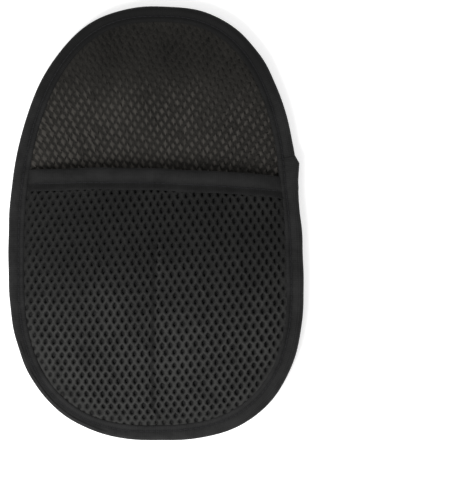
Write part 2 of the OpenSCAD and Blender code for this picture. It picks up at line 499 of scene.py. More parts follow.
@dataclass(frozen=True)
class CellFoam(Finish):
    """Grey polyether foam, foamed and sliced. Dull, and full of small open cells."""

    def pattern(self, tree: bpy.types.NodeTree, shader: bpy.types.Node) -> None:
        """Open cells as pits.

        Args:
            tree: The material's nodes.
            shader: The node that gives the surface.
        """
        place = add_node(tree, "ShaderNodeTexCoord").outputs["Object"]
        cells = add_node(
            tree, "ShaderNodeTexVoronoi", {"Vector": place, "Scale": 900.0}
        ).outputs["Distance"]
        add_node(
            tree,
            "ShaderNodeBump",
            {"Strength": 0.7, "Distance": 0.4 * MM, "Height": cells},
            {0: shader.inputs["Normal"]},
        )


# Every cloth here is dyed black, so depth shows as painted shade in the depths and painted highlight on top.
POCKET_NET = KnitMesh("air_mesh_polyester", "spacer_mesh", "#313130", 0.85, deep="#0d0d0d", fluff=0.8)
POCKET_INNER = KnitMesh("air_mesh_back_face", "spacer_mesh", "#272727", 0.9, deep="#171717")
BACK_MESH = KnitMesh(
    "fine_mesh_polyester", "fine_mesh", "#393734", 0.85, deep="#0d0d0c", fluff_mm=0.6, fluff=1.05
)
EDGE_TAPE = WovenTape("woven_edge_tape", "woven_tape", "#262626", 0.75, deep="#131313")
MOUTH_TAPE = WovenTape("woven_mouth_tape", "folded_tape", "#222222", 0.75, deep="#131313")
PLUSH = PlushPile("microfibre_plush", "plush_pile", "#2a2a2d", 0.8, 0.2)
BACKING = KnitMesh("knit_backing", "knit_backing", "#1c1c1e", 0.85, deep="#0e0e0f")
FOAM = CellFoam("polyether_foam", "foam", "#55555a", 0.95, 0.0)
ELASTIC = WovenTape("woven_elastic", "elastic", "#262626", 0.7, deep="#161616")
THREAD = SpunThread("polyester_thread", "thread", "#1e1e20", 0.55, 0.05)


# ---------------------------------------------------------------- shape of the mitt


@dataclass(frozen=True)
class Outline:
    """The mitt's oval: two half superellipses that share their widest line."""

    half_w: float
    toe_half: float
    heel_half: float
    widest_y: float
    squareness: float = 2.5

    def length_half(self, y: Array, inset: float) -> Array:
        """The half length on the side of y, moved in by inset."""
        return np.where(np.asarray(y) > self.widest_y, self.heel_half, self.toe_half) - inset

    def share(self, x: Array, y: Array, inset: float = 0.0) -> Array:
        """How far a point is on the way from the middle to the oval.

        Args:
            x: Positions across.
            y: Positions along.
            inset: How far in the oval is moved.

        Returns:
            0 in the middle, 1 on the oval.
        """
        b = self.length_half(y, inset)
        n = self.squareness
        return (np.abs(x / (self.half_w - inset)) ** n + np.abs((y - self.widest_y) / b) ** n) ** (1 / n)

    def depth(self, x: Array, y: Array) -> Array:
        """The distance in from the outline, exact near the edge.

        Args:
            x: Positions across.
            y: Positions along.

        Returns:
            Distances in mm, below 0 outside.
        """
        n, a, b = self.squareness, self.half_w, self.length_half(y, 0.0)
        s = np.maximum(self.share(x, y), 1e-6)
        gx = np.abs(x / a) ** (n - 1) / a
        gy = np.abs((y - self.widest_y) / b) ** (n - 1) / b
        slope = np.maximum(np.hypot(gx, gy) * s ** (1 - n), 1e-4)
        return (1 - s) / slope

    def half_width(self, y: Array, inset: float = 0.0) -> Array:
        """Half the width of the oval at y.

        Args:
            y: Positions along.
            inset: How far in the oval is moved.

        Returns:
            Half widths in mm.
        """
        b = self.length_half(y, inset)
        v = np.clip(np.abs((y - self.widest_y) / b), 0, 1) ** self.squareness
        return (self.half_w - inset) * (1 - v) ** (1 / self.squareness)

    def dense(self, count: int = 4000) -> Array:
        """Many points round the oval, anticlockwise from the right.

        Args:
            count: How many.

        Returns:
            One row of x, y per point.
        """
        t = np.arange(count) * math.tau / count
        c, s = np.cos(t), np.sin(t)
        n = self.squareness
        k = (np.abs(c) ** n + np.abs(s) ** n) ** (-1 / n)
        b = np.where(s > 0, self.heel_half, self.toe_half)
        return np.stack([self.half_w * c * k, self.widest_y + b * s * k], 1)

    def area(self, inset: float = 0.0) -> float:
        """Area of the oval moved in by inset, in square metres."""
        x, y = (self.dense() * (1 - inset / self.half_w)).T
        return float(abs(np.sum(x * np.roll(y, -1) - y * np.roll(x, -1))) / 2) * MM * MM

    def rim(self, count: int) -> tuple[Array, Array, Array]:
        """Evenly spaced stations round the oval.

        Args:
            count: How many.

        Returns:
            Their places, their directions inwards, and their distances along the edge.
        """
        loop = self.dense()
        closed = np.vstack([loop, loop[:1]])
        along = distance_along(closed)
        at = np.arange(count) * along[-1] / count
        places = np.stack([np.interp(at, along, closed[:, k]) for k in range(2)], 1)
        ahead = unit(np.roll(places, -1, 0) - np.roll(places, 1, 0))
        return places, np.stack([-ahead[:, 1], ahead[:, 0]], 1), at


@dataclass(frozen=True)
class Layout:
    """Heights and lines that the pieces share, in mm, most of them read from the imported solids."""

    outline: Outline
    seam_z: float
    foam_z: float
    flange_z: float
    over_z: float
    under_z: float
    foam_rise: float
    toe_y: float
    mouth_y: float = 31.0
    mouth_bow: float = 2.6
    mouth_skew: float = 0.028
    rise_toe: float = 8.5
    rise_mouth: float = 11.0
    binding: float = 10.0
    crease_x: float = -0.9

    @classmethod
    def from_frame(cls) -> Layout:
        """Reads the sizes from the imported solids.

        Returns:
            The layout.
        """
        low, high = (Vector(v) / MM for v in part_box("edge_binding"))
        toe_share = 0.38  # of the length lies on the fingertip side of the widest line
        panel = 2.0  # thickness of the back panel's mesh, which lies on the backing at its edge
        length = high.y - low.y
        outline = Outline(
            half_w=(high.x - low.x) / 2,
            toe_half=length * toe_share,
            heel_half=length * (1 - toe_share),
            widest_y=low.y + length * toe_share,
        )
        back_low, back_high = (Vector(v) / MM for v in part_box("back_panel"))
        flange = back_low.z + panel
        return cls(
            outline=outline,
            seam_z=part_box("pile_backing")[0].z / MM,
            foam_z=back_low.z,
            flange_z=flange,
            over_z=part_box("binding_needle_thread")[0].z / MM,
            under_z=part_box("binding_bobbin_thread")[1].z / MM,
            foam_rise=back_high.z - flange,
            toe_y=(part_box("pocket_panel")[0] / MM).y,
        )

    def mouth_at(self, x: Array) -> Array:
        """Y of the pocket's mouth at x."""
        return self.mouth_y - self.mouth_skew * x - self.mouth_bow * (x / 73.6) ** 2

    def mouth_share(self, y: Array) -> Array:
        """0 at the pocket's fingertip seam, 1 at its mouth."""
        return np.clip((y - self.toe_y) / (self.mouth_y - self.toe_y), 0, 1)

    def back_top(self, x: Array, y: Array) -> Array:
        """Top of the back panel: the foam's crown with a few soft hollows.

        Args:
            x: Positions across.
            y: Positions along.

        Returns:
            Heights.
        """
        s = np.clip(self.outline.share(x, y, self.binding + 0.4), 0, 1)
        crown = 1 - s**4
        ripple = 0.35 * wander(x, y, 34, 11) * crown
        return self.flange_z + self.foam_rise * crown + ripple

    def crease_line(self, y: Array) -> Array:
        """X of the pressed fold down the middle of the pocket."""
        return self.crease_x - 0.6 * ease(-y, 20, 60) + 2.8 * ease(-y, 104, 112) - lopsided(y)

    def crease(self, x: Array, y: Array) -> Array:
        """How much of the pressed fold shows, 0 to 1."""
        off = x - self.crease_line(y) + 0.6 - 0.6 * np.sin(y * 0.79)
        return np.exp(-((off / 1.1) ** 2)) * ease(-y, 0, 22) * ease(y, -118, -108)

    def crease_lip(self, x: Array, y: Array) -> Array:
        """How far the yarn stands up beside the fold, in flecks towards its upper end.

        Args:
            x: Positions across.
            y: Positions along.

        Returns:
            0 to 1.
        """
        off = x - self.crease_line(y) - 2.3
        flecks = 0.5 + 0.5 * np.sin(y * 1.53)
        return np.exp(-((off / 0.9) ** 2)) * ease(-y, 4, 16) * ease(y, -62, -40) * flecks

    def pocket_top(self, x: Array, y: Array) -> Array:
        """Top of the pocket's mesh, pressed thin at its sewn edge, with a fold down the middle.

        Args:
            x: Positions across.
            y: Positions along.

        Returns:
            Heights.
        """
        s = np.clip(self.outline.share(x, y, self.binding - 1.5), 0, 1)
        loft = ease(self.outline.depth(x, y), 8.0, 15.0)
        rise = self.rise_toe + (self.rise_mouth - self.rise_toe) * self.mouth_share(y)
        from_mouth = self.mouth_at(x) - y
        ripple = 0.45 * wander(x, y, 30, 23) * loft
        gathers = 0.5 * np.sin(x / 3.1 + 0.7) * np.exp(-np.abs(from_mouth - 14) / 9) * loft * 0.35
        seam = 0.9 * loft * np.exp(-(((from_mouth - 8) / 2.6) ** 2))
        hollow = 0.35 * np.exp(-(((x - self.crease_x) / 5) ** 2)) * ease(-y, 0, 20)
        fold = 1.5 * self.crease(x, y) - 0.45 * self.crease_lip(x, y)
        cloth = 1.1 + 1.9 * loft
        return self.flange_z + cloth + rise * (1 - s**3) + ripple + gathers - seam - fold - hollow

    def pocket_thickness(self, x: Array, y: Array) -> Array:
        """Thickness of the pocket's mesh: 3 mm, pressed to 1 mm where it is sewn in."""
        return 1.0 + 2.0 * ease(self.outline.depth(x, y), 8.0, 14.0)


def lift_off(surface: Surface, x: Array, y: Array, height: Array) -> Array:
    """Points at a height above a surface, measured square to it.

    Args:
        surface: Gives z from x and y.
        x: Positions across.
        y: Positions along.
        height: Distance off the surface, up or down.

    Returns:
        One row of x, y, z per point, in mm.
    """
    step = 0.5
    z = surface(x, y)
    gx = (surface(x + step, y) - surface(x - step, y)) / (2 * step)
    gy = (surface(x, y + step) - surface(x, y - step)) / (2 * step)
    size = np.sqrt(1 + gx**2 + gy**2)
    return np.stack([x - gx / size * height, y - gy / size * height, z + height / size], -1)


# ---------------------------------------------------------------- mesh makers


@dataclass(frozen=True)
class Lay:
    """How far a knit lies off its even lattice, in mm, as sums of powers of the place in decimetres."""

    middle_y: float
    across: dict[tuple[int, int], float]
    along: dict[tuple[int, int], float]

    def __call__(self, x: Array, y: Array) -> tuple[Array, Array]:
        """Takes a place in the even lattice to its place on the mitt.

        Args:
            x: Positions across.
            y: Positions along.

        Returns:
            Positions across and along.
        """
        u, v = x / 100, (y - self.middle_y) / 100
        shift = [sum(k * u**i * v**j for (i, j), k in part.items()) for part in (self.across, self.along)]
        return x + shift[0], y + shift[1]


@dataclass(frozen=True)
class Ring:
    """One ring of a knitted cell: its way out from the core, its height, its tone as painted shade, its share
    of the core.
    """

    out: float
    height: float
    tone: float
    core: float = 1.0


@dataclass(frozen=True)
class Lattice:
    """Staggered rows of cells, each a hexagon round an upright oval core.

    uneven scales the differences between cells, and tails sets how much the yarn sinks above and
    below each core, with painted shade where it sinks.
    """

    pitch: float
    row: float
    core_w: float
    core_h: float
    uneven: float = 1.0
    tails: float = 0.0

    def template(self) -> tuple[Array, Array]:
        """Draws one cell.

        Returns:
            Its hexagon and its core, 18 matching points each.
        """
        a, b = self.pitch, self.row
        side = (b * b - a * a / 4) / (2 * b)
        top = (a * a / 4 + b * b) / (2 * b)
        right = [[a / 2, -side], [a / 2, side], [0, top]]
        corner = np.array(right + [[-x, -y] for x, y in right])
        ring = np.concatenate(
            [corner[i] + (corner[(i + 1) % 6] - corner[i]) * np.arange(3)[:, None] / 3 for i in range(6)]
        )
        turn = np.arctan2(ring[:, 1] / self.core_h, ring[:, 0] / self.core_w)
        core = np.stack([self.core_w / 2 * np.cos(turn), self.core_h / 2 * np.sin(turn)], 1)
        return ring, core

    def centres(self, low: tuple[float, float], high: tuple[float, float]) -> Array:
        """Middles of the cells that cover a box, row by row.

        Args:
            low: The box's lowest x and y.
            high: Its highest.

        Returns:
            One row of x, y per cell.
        """
        found = []
        for k in range(math.floor(low[1] / self.row), math.ceil(high[1] / self.row) + 1):
            start = self.pitch / 2 * (k % 2)
            n = np.arange(math.floor(low[0] / self.pitch) - 1, math.ceil(high[0] / self.pitch) + 2)
            found.append(np.stack([start + n * self.pitch, np.full(len(n), k * self.row)], 1))
        return np.concatenate(found)

    def flat(self, centres: Array) -> tuple[tuple[float, float], float]:
        """Measures the flat cloth that some cells make up.

        Args:
            centres: Middles of the cells.

        Returns:
            Its width and length in metres, and its area in square metres.
        """
        width, length = (np.ptp(centres, 0) + [self.pitch, self.row]) * MM
        return (float(width), float(length)), len(centres) * self.pitch * self.row * MM * MM

    def cloth(
        self,
        name: str,
        centres: Array,
        rings: Sequence[Ring],
        surface: Surface,
        finish: Finish,
        lean: Callable[[Array, Array], Array],
        scale: Callable[[Array, Array], Array],
        warp: Callable[[Array, Array], tuple[Array, Array]],
        press: Surface,
        shade: Surface,
        closed: bool,
    ) -> bpy.types.Object:
        """Knits cells into one mesh that lies on a surface.

        Args:
            name: The piece's name.
            centres: Middles of the cells, in the flat cloth.
            rings: From the cell's border inwards.
            surface: Where the cloth lies.
            finish: Its material.
            lean: Turn of the core at a place, in radians.
            scale: Size of the core at a place, 1 for its own size.
            warp: Place on the mitt of a place in the flat cloth.
            press: Share of its full height that the cloth has at a place.
            shade: Share of its full tone that the yarn has at a place: painted light and shade over the
                piece.
            closed: Whether the core is filled.

        Returns:
            The new object.
        """
        rng = np.random.default_rng(SEED)
        border, core = self.template()
        n, sides = len(centres), len(border)
        cx, cy = centres[:, 0], centres[:, 1]
        turn = lean(cx, cy) + rng.normal(0, 0.06 * self.uneven, n)
        grow = scale(cx, cy)[:, None] * (1 + rng.normal(0, 0.1 * self.uneven, (n, 2)))
        cos, sin = np.cos(turn)[:, None], np.sin(turn)[:, None]
        kx, ky = core[None, :, 0] * grow[:, :1], core[None, :, 1] * grow[:, 1:]
        core_x, core_y = kx * cos - ky * sin, kx * sin + ky * cos
        nudge = rng.normal(0, 0.1 * self.uneven, (n, 2, 1))
        tone_change = rng.normal(1, 0.14 * self.uneven, (n, 1)) * rng.normal(1, 0.1, (n, sides))
        tail = self.tails * np.abs(border[:, 1] / np.hypot(border[:, 0], border[:, 1])) ** 3
        flat, height, tone = [], [], []
        for ring in rings:
            x = cx[:, None] + border[:, 0] * ring.out + (core_x * ring.core + nudge[:, 0]) * (1 - ring.out)
            y = cy[:, None] + border[:, 1] * ring.out + (core_y * ring.core + nudge[:, 1]) * (1 - ring.out)
            flat.append(np.stack([x, y], -1))
            sunk = tail * 4 * ring.out * (1 - ring.out)
            height.append(np.broadcast_to(ring.height - 0.8 * sunk, (n, sides)))
            # ring tones paint shade low in each cell, darker still where the yarn sinks, and vary at random
            # per cell
            tone.append(ring.tone * tone_change * (1 - sunk))
        points = np.stack(flat, 1).reshape(-1, 2)
        heights, tones = np.stack(height, 1).ravel(), np.stack(tone, 1).ravel()
        index = np.arange(n * len(rings) * sides).reshape(n, len(rings), sides)
        quads = np.concatenate([ring_faces(index[:, k], index[:, k + 1]) for k in range(len(rings) - 1)])
        # neighbours share their borders' vertices: those are told apart by place, the others by number
        key = 10**7 + np.repeat(np.arange(len(points))[:, None], 2, 1)
        borders = index[:, 0].ravel()
        key[borders] = np.round(points[borders] * 50)
        _, first, back = np.unique(key, axis=0, return_index=True, return_inverse=True)
        back = back.ravel()
        x, y = warp(*points[first].T)
        placed = lift_off(surface, x, y, heights[first] * press(x, y))
        faces = back[quads].tolist() + (back[index[:, -1]].tolist() if closed else [])
        return make_piece(name, placed, faces, finish, tone=tones[first] * shade(x, y))


def rounded(control: Array, count: int) -> Array:
    """Draws a smooth curve through control points.

    Args:
        control: For each station, its control points.
        count: How many points the curve gets.

    Returns:
        For each station, the curve's points.
    """
    k = control.shape[1]
    weights = np.zeros((count, k))
    for row, t in enumerate(np.linspace(0, k - 1, count)):
        i = min(int(t), k - 2)
        f = t - i
        parts = (
            (-f + 2 * f * f - f**3) / 2,
            (2 - 5 * f * f + 3 * f**3) / 2,
            (f + 4 * f * f - 3 * f**3) / 2,
            (-f * f + f**3) / 2,
        )
        for step, part in zip((-1, 0, 1, 2), parts):
            weights[row, min(max(i + step, 0), k - 1)] += part
    return np.einsum("rk,nkd->nrd", weights, control)


def strip_loop(outer: Array, thickness: float) -> Array:
    """Closes a strip of cloth's outer face into a thin loop.

    Args:
        outer: For each station, the outer face's points.
        thickness: Of the cloth, laid on the left of the points' direction.

    Returns:
        For each station, the outer points and then the inner ones back again.
    """
    along = unit(np.gradient(outer, axis=1))
    inner = outer + np.stack([-along[..., 1], along[..., 0]], -1) * thickness
    return np.concatenate([outer, inner[:, ::-1]], 1)


def sweep(
    name: str,
    places: Array,
    inward: Array,
    section: Array,
    finish: Finish,
    closed: bool,
    tone: Array,
) -> bpy.types.Object:
    """Sweeps a closed section along a line in plan.

    Args:
        name: The piece's name.
        places: Plan position of each station.
        inward: Direction of the section's first axis at each station.
        section: For each station, the section's points as distance inwards and height.
        finish: The piece's material.
        closed: Whether the line is a loop; an open one gets its ends filled.
        tone: How much paler or, below 0, darker the tape is, for each point of the section.

    Returns:
        The new object.
    """
    n, m = section.shape[:2]
    xy = places[:, None] + inward[:, None] * section[:, :, :1]
    points = np.concatenate([xy, section[:, :, 1:2]], 2)
    steps = np.linalg.norm(np.diff(section, axis=1), axis=2).mean(0)
    across = np.concatenate([[0], np.cumsum(steps)])
    uv = np.stack(np.broadcast_arrays(distance_along(places)[:, None], across), -1) * MM
    index = np.arange(n * m).reshape(n, m)
    if closed:
        faces = ring_faces(index, np.roll(index, -1, 0)).tolist()
    else:
        faces = ring_faces(index[:-1], index[1:]).tolist() + strip_ends(index, (False, True))
    return make_piece(
        name, points.reshape(-1, 3), faces, finish, uv=uv.reshape(-1, 2), tone=tone.ravel()
    )


def stitches(
    name: str,
    middles: Array,
    ahead: Array,
    up: Array,
    rise: float,
    length: float = 2.9,
    width: float = 0.5,
) -> bpy.types.Object:
    """A row of stitches, each a short bowed length of thread whose ends dive into the cloth.

    Args:
        name: The piece's name.
        middles: Middle of each stitch on the cloth's surface.
        ahead: Unit direction of each stitch.
        up: Unit direction out of the cloth at each stitch.
        rise: How far the middle stands above the ends.
        length: Length of a stitch.
        width: Thickness of the thread.

    Returns:
        The new object.
    """
    stations, sides = 9, 8
    s = np.linspace(-0.5, 0.5, stations)
    bow = rise * (1 - (2 * s) ** 4) - rise * 0.6
    radius = width / 2 * (1 - 0.5 * (2 * np.abs(s)) ** 5)
    turn = np.arange(sides) * math.tau / sides
    side = np.cross(ahead, up)
    points = (
        middles[:, None, None]
        + ahead[:, None, None] * (s * length)[None, :, None, None]
        + up[:, None, None] * (bow[:, None] + radius[:, None] * np.sin(turn))[None, :, :, None]
        + side[:, None, None] * (radius[:, None] * np.cos(turn))[None, :, :, None]
    )
    n = len(middles)
    index = np.arange(n * stations * sides).reshape(n, stations, sides)
    quads = ring_faces(index[:, :-1], index[:, 1:])
    faces = quads.tolist() + index[:, 0, ::-1].tolist() + index[:, -1].tolist()
    return make_piece(name, points.reshape(-1, 3), faces, THREAD)


def sheet_between(
    name: str,
    outline: Outline,
    inset: float,
    top: Surface,
    bottom: Surface,
    finish: Finish,
    rings: int = 26,
    tone: float = 0.6,
) -> bpy.types.Object:
    """A closed layer that fills the oval between two surfaces.

    Args:
        name: The piece's name.
        outline: The mitt's oval.
        inset: How far in from the oval it stops.
        top: Its upper surface.
        bottom: Its lower surface.
        finish: Its material.
        rings: How many rings of faces lead to the middle.
        tone: How far up the yarn stands, 0 to 1, shown as painted shade when low.

    Returns:
        The new object.
    """
    places, inward, _ = outline.rim(220)
    edge = places + inward * inset
    middle = np.array([0.0, outline.widest_y])
    shares = np.sin(np.linspace(0.5 * math.pi, 0, rings + 1)[:-1]) ** 0.9
    points = []
    for surface in (top, bottom):
        for s in shares:
            ring = middle + (edge - middle) * s
            points.append(np.column_stack([ring, surface(ring[:, 0], ring[:, 1])]))
    points += [[[*middle, float(f(middle[:1], middle[1:])[0])]] for f in (top, bottom)]
    placed = np.concatenate(points)
    n = len(edge)
    index = np.arange(2 * rings * n).reshape(2, rings, n)
    faces: list[list[int]] = []
    for side, layer in enumerate(index):
        hub = np.full(n, 2 * rings * n + side)
        fan = np.stack([layer[-1], np.roll(layer[-1], -1), hub], -1)
        both = ring_faces(layer[:-1], layer[1:]).tolist() + fan.tolist()
        faces += [f[::-1] for f in both] if side else both
    upper, lower = index[:, 0]
    faces += np.stack([upper, lower, np.roll(lower, -1), np.roll(upper, -1)], -1).tolist()
    return make_piece(name, placed, faces, finish, tone=np.full(len(placed), tone))


# ---------------------------------------------------------------- sub-assemblies


class Side(Enum):
    """Which half of the pocket a piece is."""

    LEFT = -1
    RIGHT = 1


@dataclass
class WashingFace:
    """The plush pile and the knitted backing that holds it."""

    layout: Layout
    spacing: float = 2.3
    strand: float = 0.75
    spread: float = 1.6
    margin: float = 2.6
    groups: int = 4

    def build(self) -> None:
        """Builds the backing, the pile's dense root layer and its tufts."""
        shape = self.layout.outline
        backing = sheet_between(
            "pile_backing_knit",
            shape,
            1.0,
            lambda x, y: np.full(np.shape(x), self.layout.foam_z - 0.02),
            lambda x, y: np.full(np.shape(x), self.layout.seam_z + 0.02),
            BACKING,
        )
        fix_to_mitt(backing, "pile_backing")
        roots = self.root_layer()
        tufts = [self.tufts(f"pile_tufts_{k + 1}", k) for k in range(self.groups)]
        shape.area(1.0)
        log.info("washing face: backing, root layer and %d groups of tufts", len(tufts))

    def root_layer(self) -> bpy.types.Object:
        """The thick of the pile, where strands are too close to tell apart.

        Returns:
            The piece.
        """
        shape = self.layout.outline
        low = self.layout.seam_z

        def under(x: Array, y: Array) -> Array:
            """Underside: clumps, rounded off at the rim."""
            clump = 0.5 * wander(x, y, 5, 31) + 0.5 * wander(x, y, 2.4, 32)
            return low - 4.6 * ease(shape.depth(x, y), 1.5, 9) + clump * ease(shape.depth(x, y), 3, 9)

        def over(x: Array, y: Array) -> Array:
            """Upper side, clear of the tape's lower leg."""
            return low - 0.05 - 1.15 * (1 - ease(shape.depth(x, y), 9.5, 11.0))

        # the root layer's low tone is painted shade, as deep in the pile
        return fix_to_mitt(
            sheet_between("pile_roots", shape, self.margin, over, under, PLUSH, rings=40, tone=0.1)
        )

    def tufts(self, name: str, group: int) -> bpy.types.Object:
        """A share of the tufts: curved strands that taper to soft tips level with the floor.

        Args:
            name: The piece's name.
            group: Which share of the rows.

        Returns:
            The piece, which replaces the plain pile.
        """
        rng = np.random.default_rng(SEED + group)
        shape = self.layout.outline
        net = Lattice(self.spacing, self.spacing * 0.86, 1, 1)
        low = (-shape.half_w, shape.widest_y - shape.toe_half)
        all_roots = net.centres(low, (shape.half_w, shape.widest_y + shape.heel_half))
        rows = np.round(all_roots[:, 1] / net.row).astype(int)
        roots = all_roots[(rows % self.groups) == group]
        roots = roots + rng.normal(0, 0.45, roots.shape)
        edge = shape.depth(*roots.T)
        roots, edge = roots[edge > self.margin], edge[edge > self.margin]
        n, stations, sides = len(roots), 6, 5
        out = unit(roots - np.array([0, shape.widest_y]))
        combed = np.stack([wander(*roots.T, 22, 41), wander(*roots.T, 22, 42)], 1)
        drift = rng.normal(0, 0.8, (n, 2)) + combed * self.spread
        drift += out * (1.3 * (1 - ease(edge, 3, 9)))[:, None]
        inward_limit = ease(edge, 2.4, 6)[:, None]
        drift = np.where((drift * out).sum(1)[:, None] > 0, drift * (0.35 + 0.65 * inward_limit), drift)
        start = np.where(edge > 10, self.layout.seam_z - 2.5, self.layout.seam_z - 2.2)
        tip = np.clip(rng.normal(0.35, 0.3, n), 0.05, 1.3) + 2.2 * (1 - ease(edge, 2, 7))
        t = np.linspace(0, 1, stations)
        curl = rng.uniform(0, math.tau, n)
        spiral = 0.35 * t[None] ** 2
        cx = roots[:, :1] + drift[:, :1] * t**1.6 + spiral * np.cos(curl[:, None] + 4 * t)
        cy = roots[:, 1:] + drift[:, 1:] * t**1.6 + spiral * np.sin(curl[:, None] + 4 * t)
        cz = start[:, None] + (tip - start)[:, None] * t**0.9
        width = self.strand * rng.uniform(0.75, 1.25, (n, 1)) * (1.15 - 0.75 * t**2)
        turn = np.arange(sides) * math.tau / sides
        x = cx[..., None] + width[..., None] * np.cos(turn)
        y = cy[..., None] + width[..., None] * np.sin(turn)
        z = np.broadcast_to(cz[..., None], x.shape)
        points = np.stack([x, y, z], -1).reshape(-1, 3)
        index = np.arange(n * stations * sides).reshape(n, stations, sides)
        a, b = index[:, :-1], index[:, 1:]
        quads = np.stack([a, b, np.roll(b, -1, 2), np.roll(a, -1, 2)], -1).reshape(-1, 4)
        faces = quads.tolist() + index[:, -1, ::-1].tolist()
        # painted shade at each strand's root, rising to painted highlight at its tip
        shade = np.clip(t[None] * rng.uniform(0.6, 1.1, (n, 1)), 0, 1)
        tone = np.repeat(shade.ravel(), sides)
        return fix_to_mitt(make_piece(name, points, faces, PLUSH, tone=tone), "wash_pile")


@dataclass
class PaddedBack:
    """The foam pad and the fine mesh panel over it."""

    layout: Layout
    foam_inset: float = 13.0
    cells: Lattice = field(default_factory=lambda: Lattice(4.42, 3.65, 0.6, 4.3, uneven=2.2))
    lay: Lay = field(
        default_factory=lambda: Lay(
            75,
            across={(0, 0): -1.55, (0, 1): -0.6, (0, 2): 3.2, (1, 0): 0.6, (1, 1): 3.4},
            along={(1, 0): -24.5, (1, 1): -2.5, (2, 0): -8.1, (0, 1): -0.6},
        )
    )

    def build(self) -> None:
        """Builds the foam and both parts of the panel."""
        self.foam()
        self.panel()

    def foam(self) -> None:
        """A pad of foam with soft edges, as high as the panel lets it be."""
        shape = self.layout.outline
        foam = sheet_between(
            "foam_pad_core",
            shape,
            self.foam_inset,
            lambda x, y: self.layout.back_top(x, y) - 2.05,
            lambda x, y: np.full(np.shape(x), self.layout.foam_z + 0.02),
            FOAM,
        )
        fix_to_mitt(foam, "foam_pad")
        log.info("foam pad")

    def tone(self, x: Array, y: Array) -> Array:
        """Painted light on the panel's yarn: palest at the lower left, darker to the right and at the wrist
        end.

        Args:
            x: Positions across.
            y: Positions along.

        Returns:
            Shares of the full tone.
        """
        # painted light from the lower left, a painted highlight above the mouth's left end against the
        # pocket's shadow, painted shade at the wrist end, random tone from wander
        tone_change = 0.5 * ease(-x, -10, 65) * (1 - ease(y, 45, 90)) - 0.3 * ease(x, 0, 60)
        tone_change += 0.3 * ease(-x, -20, 45) * np.exp(-(((y - 38) / 9) ** 2))
        return np.maximum(1.0 + 0.12 * wander(x, y, 26, 4) - 1.2 * ease(y, 54, 104) + tone_change, -0.12)

    def panel(self) -> None:
        """The fine mesh, with full relief where it is in the open and less inside the pocket."""
        shape = self.layout.outline
        reach = shape.half_w + 30
        centres = self.cells.centres((-reach, -reach - 60), (reach, reach + 60))
        inside = shape.depth(*self.lay(*centres.T)) > 4.0
        centres = centres[inside]
        in_open = self.lay(*centres.T)[1] > self.layout.mouth_y - 20
        # ring tones: painted shade in each grain's groove, painted highlight on its top
        wrist = [
            Ring(1.0, -0.42, 0.06),
            Ring(0.7, -0.34, 0.0),
            Ring(0.44, -0.1, 0.3),
            Ring(0.22, 0.14, 0.64),
            Ring(0.03, 0.36, 0.92),
        ]
        palm = [Ring(1.0, -0.42, 0.0), Ring(0.6, -0.1, 0.4), Ring(0.15, 0.36, 1.0)]
        for part, rings, keep in (("wrist", wrist, in_open), ("palm", palm, ~in_open)):
            obj = self.cells.cloth(
                f"back_panel_{part}",
                centres[keep],
                rings,
                self.layout.back_top,
                BACK_MESH,
                lean=lambda x, y: (12 - x) * math.radians(0.45),
                scale=lambda x, y: 1 + 0.1 * wander(x, y, 9, 3),
                warp=self.lay,
                press=lambda x, y: 0.35 + 0.65 * ease(shape.depth(x, y), 8, 14),
                shade=self.tone,
                closed=True,
            )
            fix_to_mitt(obj, "back_panel")
            flat, area = self.cells.flat(centres[keep])
            log.info("back panel, %s part: %.4f square metres", part, area)


